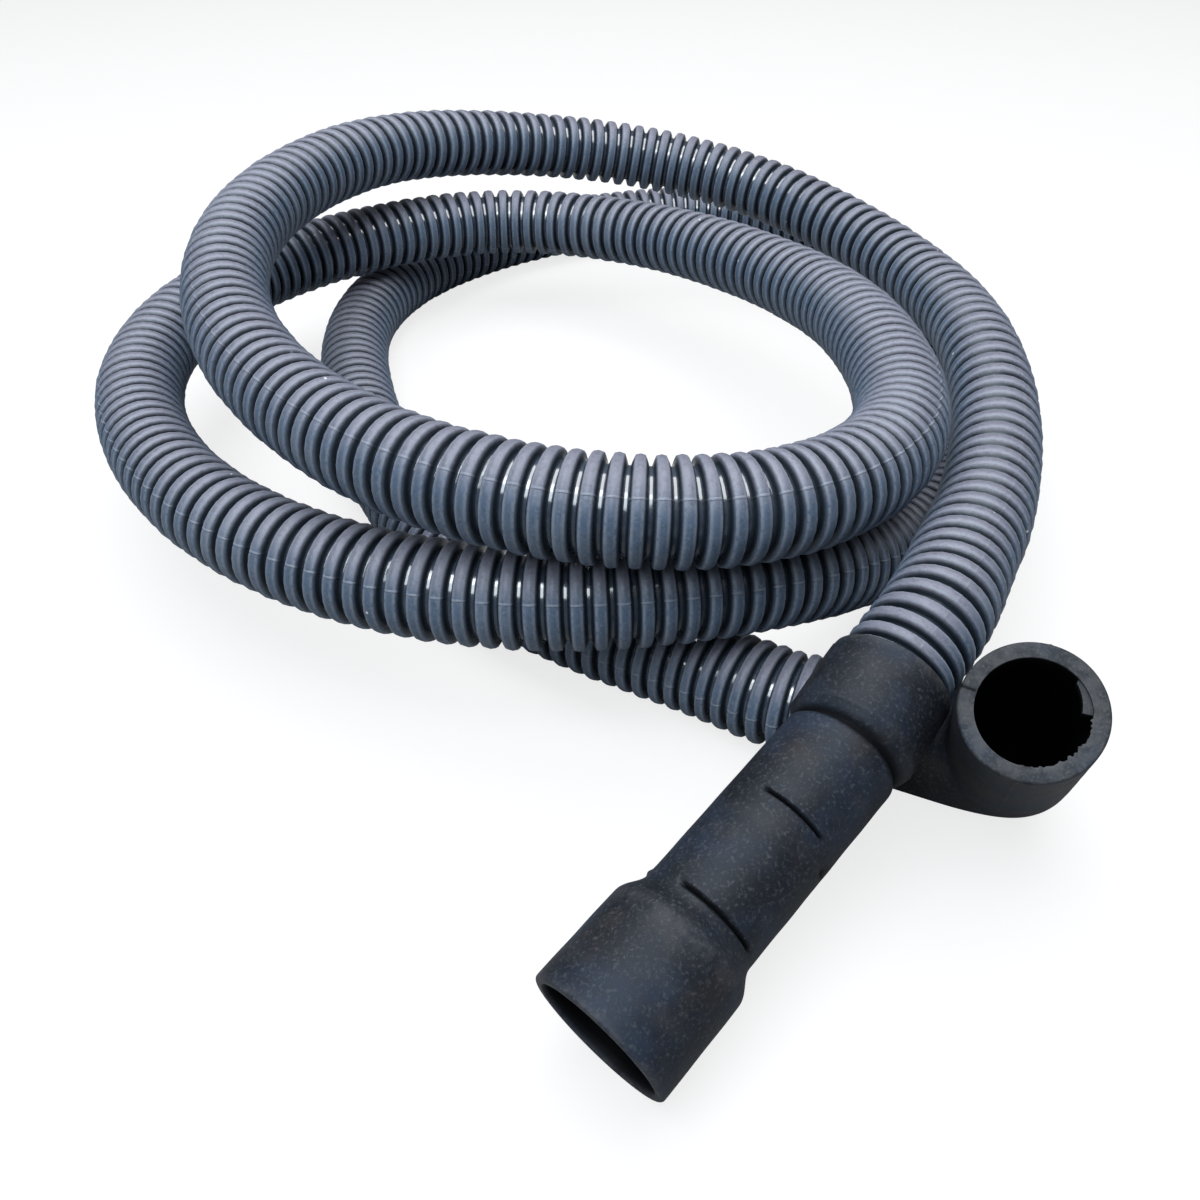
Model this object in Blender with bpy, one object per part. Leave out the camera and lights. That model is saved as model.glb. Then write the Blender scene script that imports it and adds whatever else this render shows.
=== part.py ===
"""Discharge hose: a corrugated plastic hose lying in two and a half loops, with a rubber connector on each end.

The straight stepped connector takes the hose's upper end, the right-angle elbow its lower end. Everything is in metres
with +Z up. The floor is z = 0, and the origin is under the middle of the whole thing. Each end of the hose lies on the
axis of its connector's socket, and the list ROUTE gives the hose's centre line between the two sockets.
"""

import math

import bmesh
import bpy
import numpy as np

# Hose
HOSE_DIAMETER = 0.021
HOSE_SEGMENTS = 79
HOSE_BEVEL_RESOLUTION = 4
ROUTE = [
    (0.0620, -0.1168, 0.0362),
    (0.0673, -0.1087, 0.0372),
    (0.0735, -0.0968, 0.0371),
    (0.0806, -0.0832, 0.0361),
    (0.0879, -0.0662, 0.0347),
    (0.0970, -0.0403, 0.0332),
    (0.1060, 0.0062, 0.0325),
    (0.1055, 0.0527, 0.0305),
    (0.0890, 0.0967, 0.0325),
    (0.0565, 0.1287, 0.0390),
    (0.0120, 0.1412, 0.0460),
    (-0.0325, 0.1287, 0.0535),
    (-0.0665, 0.0982, 0.0600),
    (-0.0870, 0.0562, 0.0620),
    (-0.0925, 0.0092, 0.0610),
    (-0.0815, -0.0358, 0.0575),
    (-0.0540, -0.0738, 0.0545),
    (-0.0150, -0.1008, 0.0550),
    (0.0295, -0.1038, 0.0540),
    (0.0635, -0.0713, 0.0495),
    (0.0705, -0.0253, 0.0470),
    (0.0635, 0.0207, 0.0425),
    (0.0430, 0.0622, 0.0380),
    (0.0120, 0.0972, 0.0335),
    (-0.0310, 0.1117, 0.0320),
    (-0.0725, 0.0932, 0.0330),
    (-0.1055, 0.0607, 0.0325),
    (-0.1180, 0.0167, 0.0335),
    (-0.1110, -0.0298, 0.0340),
    (-0.0855, -0.0688, 0.0325),
    (-0.0465, -0.0938, 0.0315),
    (-0.0005, -0.1033, 0.0330),
    (0.0415, -0.0923, 0.0305),
    (0.0740, -0.0573, 0.0155),
    (0.1025, -0.0188, 0.0107),
    (0.1160, 0.0262, 0.0105),
    (0.1180, 0.0732, 0.0105),
    (0.1130, 0.1197, 0.0105),
    (0.0920, 0.1612, 0.0105),
    (0.0510, 0.1822, 0.0105),
    (0.0050, 0.1762, 0.0105),
    (-0.0360, 0.1527, 0.0105),
    (-0.0660, 0.1167, 0.0105),
    (-0.0770, 0.0717, 0.0105),
    (-0.0700, 0.0257, 0.0105),
    (-0.0550, -0.0188, 0.0105),
    (-0.0310, -0.0593, 0.0105),
    (0.0055, -0.0883, 0.0105),
    (0.0265, -0.1003, 0.0105),
    (0.0400, -0.1088, 0.0110),
]

# What both connectors share
FIT_CLEARANCE = 0.0003
SOCKET_DEPTH = 0.012
EDGE_BREAK = 0.0004
RING_SIDES = 32

# Straight connector, measured along its axis from the mouth, which rests on the floor
MOUTH_PLACE = (0.0017, -0.184)
CONNECTOR_AZIMUTH = math.radians(46.3)
CONNECTOR_SLOPE = math.radians(14.5)
CUFF_TURN = math.radians(7.0)
MOUTH_RADIUS = 0.0129
BIG_END_RADIUS = 0.01275
BIG_END_LENGTH = 0.018
BIG_END_BORE_RADIUS = 0.0111
SHOULDER_LENGTH = 0.0055
NECK_RADIUS_AT_SHOULDER = 0.0105
NECK_RADIUS_AT_CUFF = 0.0106
NECK_LENGTH = 0.0393
NECK_BORE_RADIUS = 0.0078
STEP_LENGTH = 0.0026
STRAIGHT_CUFF_RADIUS = 0.0116
STRAIGHT_CUFF_LENGTH = 0.0145
STRAIGHT_CUFF_EDGE = 0.0005
GROOVE_DEPTH = 0.0005
GROOVE_WIDTH = 0.0007
GROOVE_STATIONS = (0.0240, 0.0445)
GROOVE_ARCS_DEG = ((-10, 84), (-10, 58))

# Elbow connector, measured from the corner where the axes of its two legs cross
CORNER_PLACE = (0.0797, -0.1262)
ENTRY_AZIMUTH = math.radians(-24.5)
RISE_ANGLE = math.radians(54.3)
ENTRY_LENGTH = 0.0235
ENTRY_RADIUS = 0.0117
RISER_LENGTH = 0.0415
RISER_RADIUS = 0.0114
ELBOW_BORE_RADIUS = 0.0088
INSIDE_FILLET = 0.0012
OUTSIDE_FILLET = 0.018
BEND_STEPS = 9
LEDGE_DEPTH = 0.0024
LEDGE_RAMP = 0.0024
LEDGE_HEIGHT = 0.0008
LEDGE_ARC_DEG = (-58, -8)


def clear_scene():
    """Removes what a new Blender scene holds."""
    for scene_object in list(bpy.data.objects):
        bpy.data.objects.remove(scene_object, do_unlink=True)


def make_material(name, color, roughness):
    """A plain Principled material."""
    material = bpy.data.materials.new(name)
    material.use_nodes = True
    shader = material.node_tree.nodes["Principled BSDF"]
    shader.inputs["Base Color"].default_value = (*color, 1.0)
    shader.inputs["Roughness"].default_value = roughness
    shader.inputs["Metallic"].default_value = 0.0
    return material


def direction(azimuth, elevation):
    """The unit vector at an azimuth from +X and an elevation above the floor."""
    level = math.cos(elevation)
    return np.array([level * math.cos(azimuth), level * math.sin(azimuth), math.sin(elevation)])


def arc_weight(angles_deg, arc_deg, fade_deg=6.0):
    """1 inside an arc of angles and 0 outside it, with a short fade at both ends."""
    middle = (arc_deg[0] + arc_deg[1]) / 2
    half = (arc_deg[1] - arc_deg[0]) / 2
    away = np.abs((angles_deg - middle + 180) % 360 - 180)
    return np.clip((half - away) / fade_deg + 0.5, 0, 1)


def ring_angles():
    """The angles of a ring's corners, in radians."""
    return np.arange(RING_SIDES) * (2 * math.pi / RING_SIDES)


def circle_ring(center, side, up, radius):
    """A ring of points around a center. The radius is one number, or one for each corner."""
    angles = ring_angles()
    across = (np.sin(angles) * radius)[:, None] * side
    return center + across + (np.cos(angles) * radius)[:, None] * up


def tube_mesh(name, rings):
    """A closed solid from rings that run down its outside and back up its bore."""
    mesh = bmesh.new()
    loops = [[mesh.verts.new(point) for point in ring] for ring in rings]
    for one, two in zip(loops, loops[1:] + loops[:1]):
        for corner in range(RING_SIDES):
            after = (corner + 1) % RING_SIDES
            mesh.faces.new((one[corner], one[after], two[after], two[corner]))
    bmesh.ops.recalc_face_normals(mesh, faces=mesh.faces)
    data = bpy.data.meshes.new(name)
    mesh.to_mesh(data)
    mesh.free()
    data.shade_smooth()
    data.set_sharp_from_angle(angle=math.radians(35))
    return data


def add_object(name, data, material):
    """Puts a mesh or curve into the scene with its material."""
    data.materials.append(material)
    new_object = bpy.data.objects.new(name, data)
    bpy.context.collection.objects.link(new_object)
    return new_object


def connector_length():
    """The straight connector's length along its axis."""
    neck_end = BIG_END_LENGTH + SHOULDER_LENGTH + NECK_LENGTH
    return neck_end + STEP_LENGTH + STRAIGHT_CUFF_LENGTH


def connector_axis(station):
    """Center and direction of the straight connector's axis. It turns a little where the soft cuff starts."""
    lift = MOUTH_RADIUS * math.cos(CONNECTOR_SLOPE)
    turn_end = connector_length() - STRAIGHT_CUFF_LENGTH
    turn_start = turn_end - STEP_LENGTH * 2
    center = np.array([*MOUTH_PLACE, lift])
    straight = direction(CONNECTOR_AZIMUTH, CONNECTOR_SLOPE)
    if station <= turn_start:
        return center + straight * station, straight
    center = center + straight * turn_start
    share = min(1.0, (station - turn_start) / (turn_end - turn_start))
    turned = direction(CONNECTOR_AZIMUTH + CUFF_TURN * share, CONNECTOR_SLOPE)
    halfway = direction(CONNECTOR_AZIMUTH + CUFF_TURN * share / 2, CONNECTOR_SLOPE)
    center = center + halfway * (share * (turn_end - turn_start))
    return center + turned * max(0.0, station - turn_end), turned


def connector_ring(station, radius):
    """A ring square to the straight connector's axis. Its first corner is the uppermost one."""
    center, along = connector_axis(station)
    side = np.cross(along, [0.0, 0.0, 1.0])
    side /= np.linalg.norm(side)
    return circle_ring(center, side, np.cross(side, along), radius)


def groove_rings(station, radius, arc_deg):
    """Four rings that cut a narrow groove over part of the way round."""
    angles_deg = np.degrees(ring_angles())
    floor = radius - GROOVE_DEPTH * arc_weight(angles_deg, arc_deg)
    half = GROOVE_WIDTH / 2
    places = (-half, -half / 2, half / 2, half)
    return [(station + place, level) for place, level in zip(places, (radius, floor, floor, radius))]


def connector_outside():
    """(station, radius) pairs down the outside, from the mouth to the cuff's rim."""
    shoulder_end = BIG_END_LENGTH + SHOULDER_LENGTH
    neck_end = shoulder_end + NECK_LENGTH
    cuff_start = neck_end + STEP_LENGTH
    rim = connector_length()
    profile = [(0.0, MOUTH_RADIUS - EDGE_BREAK), (EDGE_BREAK, MOUTH_RADIUS), (BIG_END_LENGTH, BIG_END_RADIUS)]
    for step in range(1, 6):
        share = step / 6
        drop = (1 - math.cos(math.pi * share)) / 2
        radius = BIG_END_RADIUS + (NECK_RADIUS_AT_SHOULDER - BIG_END_RADIUS) * drop
        profile.append((BIG_END_LENGTH + SHOULDER_LENGTH * share, radius))
    profile.append((shoulder_end, NECK_RADIUS_AT_SHOULDER))
    for station, arc_deg in zip(GROOVE_STATIONS, GROOVE_ARCS_DEG):
        share = (station - shoulder_end) / NECK_LENGTH
        radius = NECK_RADIUS_AT_SHOULDER + (NECK_RADIUS_AT_CUFF - NECK_RADIUS_AT_SHOULDER) * share
        profile.extend(groove_rings(station, radius, arc_deg))
    for step in range(6):
        turn = math.pi / 2 * step / 5
        rise = (STRAIGHT_CUFF_RADIUS - NECK_RADIUS_AT_CUFF) * (1 - math.cos(turn))
        profile.append((neck_end + STEP_LENGTH * math.sin(turn), NECK_RADIUS_AT_CUFF + rise))
    profile.append((cuff_start + EDGE_BREAK, STRAIGHT_CUFF_RADIUS + EDGE_BREAK / 4))
    profile.append((rim - STRAIGHT_CUFF_EDGE, STRAIGHT_CUFF_RADIUS + EDGE_BREAK / 4))
    profile.append((rim, STRAIGHT_CUFF_RADIUS + EDGE_BREAK / 4 - STRAIGHT_CUFF_EDGE))
    return profile


def connector_bore():
    """(station, radius) pairs up the bore, from the cuff's rim back to the mouth."""
    rim = connector_length()
    socket_radius = HOSE_DIAMETER / 2 + FIT_CLEARANCE
    socket_floor = rim - SOCKET_DEPTH
    shoulder_end = BIG_END_LENGTH + SHOULDER_LENGTH
    return [
        (rim, socket_radius),
        (socket_floor, socket_radius),
        (socket_floor, NECK_BORE_RADIUS),
        (shoulder_end, NECK_BORE_RADIUS),
        (BIG_END_LENGTH, BIG_END_BORE_RADIUS),
        (EDGE_BREAK, BIG_END_BORE_RADIUS),
        (0.0, BIG_END_BORE_RADIUS + EDGE_BREAK),
    ]


def build_straight_connector(material):
    """The straight stepped connector."""
    rings = [connector_ring(*pair) for pair in connector_outside() + connector_bore()]
    return add_object("drain_connector", tube_mesh("drain_connector", rings), material)


def elbow_frame():
    """The corner of the elbow's axes, with the directions of its two legs."""
    entry = direction(ENTRY_AZIMUTH, 0.0)
    riser = direction(ENTRY_AZIMUTH - math.pi / 2, RISE_ANGLE)
    return np.array([*CORNER_PLACE, ENTRY_RADIUS]), entry, riser


def entry_ring(distance, radius):
    """A ring on the leg that takes the hose, at a distance from the corner."""
    corner, entry, riser = elbow_frame()
    return circle_ring(corner - entry * distance, np.cross(entry, riser), -riser, radius)


def riser_ring(distance, radius):
    """A ring on the rising leg, at a distance from the corner."""
    corner, entry, riser = elbow_frame()
    return circle_ring(corner + riser * distance, np.cross(entry, riser), entry, radius)


def bend_ring(turn, wall):
    """A ring in the bend, at an angle round the tight inside corner. Its wall is 0 on the outside."""
    corner, entry, riser = elbow_frame()
    reach = ENTRY_RADIUS + INSIDE_FILLET
    pivot = corner + (riser - entry) * reach
    outward = entry * math.sin(turn) - riser * math.cos(turn)
    length = INSIDE_FILLET + 2 * ENTRY_RADIUS
    fillet_center = length - OUTSIDE_FILLET
    tangent = math.atan2(fillet_center, length)
    if turn <= tangent:
        far = length / math.cos(turn)
    elif turn >= math.pi / 2 - tangent:
        far = length / math.sin(turn)
    else:
        spread = fillet_center * (math.cos(turn) - math.sin(turn))
        far = fillet_center * (math.cos(turn) + math.sin(turn)) + math.sqrt(OUTSIDE_FILLET**2 - spread**2)
    center = pivot + outward * (far + INSIDE_FILLET) / 2
    half_width = (far - INSIDE_FILLET) / 2 - wall
    angles = ring_angles()
    across = np.sin(angles)[:, None] * np.cross(entry, riser) * (ENTRY_RADIUS - wall)
    return center + across + np.cos(angles)[:, None] * outward * half_width


def elbow_rings():
    """Rings down the elbow's outside from its mouth to the hose's end, then back through its bore."""
    bend_reach = ENTRY_RADIUS + INSIDE_FILLET
    socket_radius = HOSE_DIAMETER / 2 + FIT_CLEARANCE
    turns = [math.pi / 2 * step / BEND_STEPS for step in range(BEND_STEPS + 1)]
    rings = [
        riser_ring(RISER_LENGTH, RISER_RADIUS - EDGE_BREAK),
        riser_ring(RISER_LENGTH - EDGE_BREAK, RISER_RADIUS),
    ]
    rings.extend(bend_ring(turn, 0.0) for turn in reversed(turns))
    rings.append(entry_ring(ENTRY_LENGTH - EDGE_BREAK, ENTRY_RADIUS))
    rings.append(entry_ring(ENTRY_LENGTH, ENTRY_RADIUS - EDGE_BREAK))
    rings.append(entry_ring(ENTRY_LENGTH, socket_radius))
    rings.append(entry_ring(ENTRY_LENGTH - SOCKET_DEPTH, socket_radius))
    rings.append(entry_ring(ENTRY_LENGTH - SOCKET_DEPTH, ELBOW_BORE_RADIUS))
    wall = ENTRY_RADIUS - ELBOW_BORE_RADIUS
    rings.extend(bend_ring(turn, wall) for turn in turns if turn > 0)
    ledge = LEDGE_HEIGHT * arc_weight(np.degrees(ring_angles()), LEDGE_ARC_DEG)
    ledge_start = RISER_LENGTH - LEDGE_DEPTH
    rings.append(riser_ring(bend_reach + LEDGE_RAMP, ELBOW_BORE_RADIUS))
    rings.append(riser_ring(ledge_start - LEDGE_RAMP, ELBOW_BORE_RADIUS - ledge))
    rings.append(riser_ring(ledge_start, ELBOW_BORE_RADIUS - ledge))
    rings.append(riser_ring(ledge_start + EDGE_BREAK, ELBOW_BORE_RADIUS))
    rings.append(riser_ring(RISER_LENGTH - EDGE_BREAK, ELBOW_BORE_RADIUS))
    rings.append(riser_ring(RISER_LENGTH, ELBOW_BORE_RADIUS + EDGE_BREAK))
    return rings


def build_elbow_connector(material):
    """The right-angle elbow connector."""
    return add_object("elbow_connector", tube_mesh("elbow_connector", elbow_rings()), material)


def hose_guide_points():
    """The points that the hose's centre line passes through, sockets included."""
    rim = connector_length()
    start, _ = connector_axis(rim - SOCKET_DEPTH + FIT_CLEARANCE)
    leave, _ = connector_axis(rim)
    corner, entry, _ = elbow_frame()
    arrive = corner - entry * ENTRY_LENGTH
    end = corner - entry * (ENTRY_LENGTH - SOCKET_DEPTH + FIT_CLEARANCE)
    return np.array([start, leave, *ROUTE, arrive, end])


def smooth_curve(points, samples):
    """Points along the natural cubic spline through the guide points, spaced by chord length."""
    knots = np.concatenate([[0.0], np.cumsum(np.linalg.norm(np.diff(points, axis=0), axis=1))])
    gaps = np.diff(knots)
    count = len(points)
    system = np.eye(count)
    right = np.zeros((count, 3))
    slopes = np.diff(points, axis=0) / gaps[:, None]
    for row in range(1, count - 1):
        system[row, row - 1] = gaps[row - 1]
        system[row, row] = 2 * (gaps[row - 1] + gaps[row])
        system[row, row + 1] = gaps[row]
        right[row] = 6 * (slopes[row] - slopes[row - 1])
    bends = np.linalg.solve(system, right)
    places = np.linspace(0.0, knots[-1], samples)
    span = np.clip(np.searchsorted(knots, places, side="right") - 1, 0, count - 2)
    ahead = (knots[span + 1] - places)[:, None]
    behind = (places - knots[span])[:, None]
    gap = gaps[span][:, None]
    curved = (bends[span] * ahead**3 + bends[span + 1] * behind**3) / (6 * gap)
    from_start = (points[span] / gap - bends[span] * gap / 6) * ahead
    from_end = (points[span + 1] / gap - bends[span + 1] * gap / 6) * behind
    return curved + from_start + from_end


def evenly_spaced(curve, count):
    """Points at equal steps along a finely sampled curve."""
    lengths = np.concatenate([[0.0], np.cumsum(np.linalg.norm(np.diff(curve, axis=0), axis=1))])
    places = np.linspace(0.0, lengths[-1], count)
    return np.stack([np.interp(places, lengths, curve[:, axis]) for axis in range(3)], axis=1)


def hose_points():
    """The hose's own points: straight inside both sockets, and evenly spaced between them."""
    guides = hose_guide_points()
    between = smooth_curve(guides, samples=6000)
    inside_start = np.linalg.norm(between - guides[1], axis=1).argmin()
    inside_end = np.linalg.norm(between - guides[-2], axis=1).argmin()
    middle = evenly_spaced(between[inside_start : inside_end + 1], HOSE_SEGMENTS - 1)
    middle[0] = guides[1]
    middle[-1] = guides[-2]
    return np.concatenate([guides[:1], middle, guides[-1:]])


def build_hose(material):
    """The hose as a plain round tube along its route."""
    points = hose_points()
    curve = bpy.data.curves.new("hose", "CURVE")
    curve.dimensions = "3D"
    curve.bevel_depth = HOSE_DIAMETER / 2
    curve.bevel_resolution = HOSE_BEVEL_RESOLUTION
    curve.use_fill_caps = True
    spline = curve.splines.new("POLY")
    spline.points.add(len(points) - 1)
    for target, point in zip(spline.points, points):
        target.co = (*point, 1.0)
    return add_object("hose", curve, material)


def main():
    clear_scene()
    plastic = make_material("hose_plastic", color=(0.155, 0.19, 0.235), roughness=0.38)
    rubber = make_material("connector_rubber", color=(0.022, 0.024, 0.03), roughness=0.62)
    build_hose(plastic)
    build_straight_connector(rubber)
    build_elbow_connector(rubber)


main()
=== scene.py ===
"""Discharge hose: the dressed model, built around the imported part.

A corrugated plastic hose lies in two and a half loose loops. A straight stepped rubber connector takes its upper
end and a right-angle rubber elbow its lower end. Everything is in metres, with +Z up and the floor at z = 0.
"""

import logging
import math
from dataclasses import dataclass, field
from enum import Enum
from typing import Optional, Sequence, Union

import bmesh
import bpy
import numpy as np
from bpy.types import Material, Mesh, Node, NodeSocket, NodeTree, Object
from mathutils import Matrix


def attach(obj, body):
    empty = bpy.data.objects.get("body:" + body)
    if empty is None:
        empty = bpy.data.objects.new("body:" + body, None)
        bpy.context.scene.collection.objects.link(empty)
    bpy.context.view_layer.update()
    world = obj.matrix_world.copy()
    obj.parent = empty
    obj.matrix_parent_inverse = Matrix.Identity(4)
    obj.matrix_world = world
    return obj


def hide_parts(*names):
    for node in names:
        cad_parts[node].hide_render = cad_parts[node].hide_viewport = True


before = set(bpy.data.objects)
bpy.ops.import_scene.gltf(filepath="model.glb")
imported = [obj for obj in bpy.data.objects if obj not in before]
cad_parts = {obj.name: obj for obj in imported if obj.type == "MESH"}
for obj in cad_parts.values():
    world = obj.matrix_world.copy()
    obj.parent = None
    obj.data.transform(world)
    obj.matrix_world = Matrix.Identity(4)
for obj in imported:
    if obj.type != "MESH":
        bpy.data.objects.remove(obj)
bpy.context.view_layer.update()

LOG = logging.getLogger("discharge_hose")
BODY = "root"
UP = np.array([0.0, 0.0, 1.0])
Color = tuple[float, float, float]
Place = tuple[float, float, float]
Pair = tuple[float, float]
Amount = Union[float, np.ndarray]
Number = Union["Value", float]

# The hose's centre line between the rims of its two connectors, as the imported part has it
ROUTE = [
    (0.062, -0.1168, 0.0362), (0.0673, -0.1087, 0.0372), (0.0735, -0.0968, 0.0371), (0.0806, -0.0832, 0.0361),
    (0.0879, -0.0662, 0.0347), (0.097, -0.0403, 0.0332), (0.106, 0.0062, 0.0325), (0.1055, 0.0527, 0.0305),
    (0.089, 0.0967, 0.0325), (0.0565, 0.1287, 0.039), (0.012, 0.1412, 0.046), (-0.0325, 0.1287, 0.0535),
    (-0.0665, 0.0982, 0.06), (-0.087, 0.0562, 0.062), (-0.0925, 0.0092, 0.061), (-0.0815, -0.0358, 0.0575),
    (-0.054, -0.0738, 0.0545), (-0.015, -0.1008, 0.055), (0.0295, -0.1038, 0.054), (0.0635, -0.0713, 0.0495),
    (0.0705, -0.0253, 0.047), (0.0635, 0.0207, 0.0425), (0.043, 0.0622, 0.038), (0.012, 0.0972, 0.0335),
    (-0.031, 0.1117, 0.032), (-0.0725, 0.0932, 0.033), (-0.1055, 0.0607, 0.0325), (-0.118, 0.0167, 0.0335),
    (-0.111, -0.0298, 0.034), (-0.0855, -0.0688, 0.0325), (-0.0465, -0.0938, 0.0315), (-0.0005, -0.1033, 0.033),
    (0.0415, -0.0923, 0.0305), (0.074, -0.0573, 0.0155), (0.1025, -0.0188, 0.0107), (0.116, 0.0262, 0.0105),
    (0.118, 0.0732, 0.0105), (0.113, 0.1197, 0.0105), (0.092, 0.1612, 0.0105), (0.051, 0.1822, 0.0105),
    (0.005, 0.1762, 0.0105), (-0.036, 0.1527, 0.0105), (-0.066, 0.1167, 0.0105), (-0.077, 0.0717, 0.0105),
    (-0.07, 0.0257, 0.0105), (-0.055, -0.0188, 0.0105), (-0.031, -0.0593, 0.0105), (0.0055, -0.0883, 0.0105),
    (0.0265, -0.1003, 0.0105), (0.04, -0.1088, 0.011),
]

# The ribs' spacing at places along the hose, in metres. It stretches and closes up a little from bend to bend.
RIB_PITCHES = [
    (0.00, 0.0034), (0.03, 0.0037), (0.06, 0.0056), (0.09, 0.0067), (0.15, 0.0065), (0.21, 0.0062), (0.27, 0.0051),
    (0.33, 0.0049), (0.48, 0.0053), (0.54, 0.0049), (0.59, 0.0044), (0.65, 0.0044), (0.72, 0.0038), (0.78, 0.0041),
    (0.85, 0.0051), (0.95, 0.0051), (1.06, 0.0045), (1.14, 0.005), (1.2, 0.0043), (1.3, 0.0043),
    (1.37, 0.0038), (1.43, 0.0048), (1.5, 0.006), (1.62, 0.006), (1.7, 0.005), (1.85, 0.0048),
    (2.00, 0.0046), (2.08, 0.0039), (2.16, 0.0036),
]


class FinishSlot(Enum):
    """The record's material slots."""

    HOSE = "hose_plastic"
    RUBBER = "connector_rubber"


class Value:
    """A number socket that Python's operators turn into Math nodes."""

    def __init__(self, graph: "Graph", socket: NodeSocket) -> None:
        """Wraps a socket of a graph."""
        self.graph = graph
        self.socket = socket

    def math(self, operation: str, *others: Number, clamp: bool = False) -> "Value":
        """The result of a Math node on this and other values, held between 0 and 1 where clamp says so."""
        settings = {"operation": operation, "use_clamp": clamp}
        return self.graph.value("ShaderNodeMath", settings, dict(enumerate((self, *others))))

    def __add__(self, other: Number) -> "Value":
        """This plus the other."""
        return self.math("ADD", other)

    __radd__ = __add__

    def __sub__(self, other: Number) -> "Value":
        """This minus the other."""
        return self.math("SUBTRACT", other)

    def __rsub__(self, other: Number) -> "Value":
        """The other minus this."""
        return self.graph.value("ShaderNodeMath", {"operation": "SUBTRACT"}, {0: float(other), 1: self})

    def __mul__(self, other: Number) -> "Value":
        """This times the other."""
        return self.math("MULTIPLY", other)

    __rmul__ = __mul__

    def ramp(self, low: float, high: float) -> "Value":
        """A smooth step from 0 below low to 1 above high, or from 1 down to 0 where low is the larger."""
        ends = {1: low, 2: high, 3: 0.0, 4: 1.0} if low < high else {1: high, 2: low, 3: 1.0, 4: 0.0}
        return self.graph.value("ShaderNodeMapRange", {"interpolation_type": "SMOOTHSTEP"}, {0: self, **ends})

    def clamped(self) -> "Value":
        """This, held between 0 and 1."""
        return self.math("ADD", 0.0, clamp=True)


Feed = Union[Value, Node, NodeSocket, float, Sequence[float], Material]


class Graph:
    """A node tree that is filled through short calls."""

    def __init__(self, tree: NodeTree) -> None:
        """Wraps a tree."""
        self.tree = tree

    def feed(self, node: Node, sockets: dict) -> None:
        """Links a node's inputs, by name or place, to their sources, or sets their own values."""
        for key, value in sockets.items():
            source = value.socket if isinstance(value, Value) else value
            source = source.outputs[0] if isinstance(source, Node) else source
            if isinstance(source, NodeSocket):
                self.tree.links.new(source, node.inputs[key])
            else:
                node.inputs[key].default_value = source

    def node(self, kind: str, settings: Optional[dict] = None, sockets: Optional[dict] = None) -> Node:
        """Adds one node.

        Args:
            kind: The node's type.
            settings: Its own settings by name, set before its sockets.
            sockets: Values or sources of its inputs, by name or place.

        Returns:
            The new node.
        """
        node = self.tree.nodes.new(kind)
        for name, value in (settings or {}).items():
            setattr(node, name, value)
        self.feed(node, sockets or {})
        return node

    def value(self, kind: str, settings: dict, sockets: dict, output: Union[int, str] = 0) -> Value:
        """One output of a new node, as a value."""
        return Value(self, self.node(kind, settings, sockets).outputs[output])

    def attribute(self, name: str, output: str = "Fac") -> Value:
        """A named attribute of the piece."""
        return self.value("ShaderNodeAttribute", {"attribute_type": "GEOMETRY", "attribute_name": name}, {}, output)

    def noise(self, coords: NodeSocket, scale: float, detail: float, rough: float = 0.5) -> Value:
        """Smooth noise around 0.5, with its scale in waves a metre."""
        sockets = {"Vector": coords, "Scale": scale, "Detail": detail, "Roughness": rough}
        return self.value("ShaderNodeTexNoise", {}, sockets)

    def specks(self, coords: NodeSocket, scale: float, size: float, share: float) -> Value:
        """Small round specks in some of the cells of a grid of random points.

        Args:
            coords: Where the pattern is read.
            scale: Cells a metre.
            size: A speck's radius as a share of a cell.
            share: The share of cells that hold a speck.

        Returns:
            1 on a speck and 0 off it.
        """
        cells = self.node("ShaderNodeTexVoronoi", {}, {"Vector": coords, "Scale": scale})
        chance = self.value("ShaderNodeSeparateColor", {}, {0: cells.outputs["Color"]})
        return Value(self, cells.outputs["Distance"]).ramp(size, size * 0.5) * chance.ramp(share, share * 0.9)

    def mix(self, factor: Feed, first: Feed, second: Feed) -> NodeSocket:
        """Two colors mixed by a factor."""
        first, second = ((*color, 1.0) if isinstance(color, tuple) else color for color in (first, second))
        return self.node("ShaderNodeMix", {"data_type": "RGBA"}, {0: factor, 6: first, 7: second}).outputs[2]

    def paint(self, color: Feed, layers: Sequence[tuple[Value, Color]]) -> Feed:
        """The color under further ones, each laid on as its mask says."""
        for mask, layer in layers:
            color = self.mix(mask, color, layer)
        return color

    def bump(self, relief: Value, strength: float, distance: float) -> Node:
        """The normals of a surface with a small relief."""
        sockets = {"Strength": strength, "Distance": distance, "Height": relief}
        return self.node("ShaderNodeBump", {}, sockets)

    def blend(self, factor: Feed, first: Node, second: Node) -> Node:
        """Two shaders blended by a factor."""
        return self.node("ShaderNodeMixShader", {}, {0: factor, 1: first, 2: second})


def new_shader(name: str) -> tuple[Material, Graph, Node, NodeSocket]:
    """A new material with its graph, its Principled node and the piece's Object coordinates."""
    material = bpy.data.materials.new(name)
    material.use_nodes = True
    graph = Graph(material.node_tree)
    shader = material.node_tree.nodes["Principled BSDF"]
    coords = graph.node("ShaderNodeTexCoord").outputs["Object"]
    return material, graph, shader, coords


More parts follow.
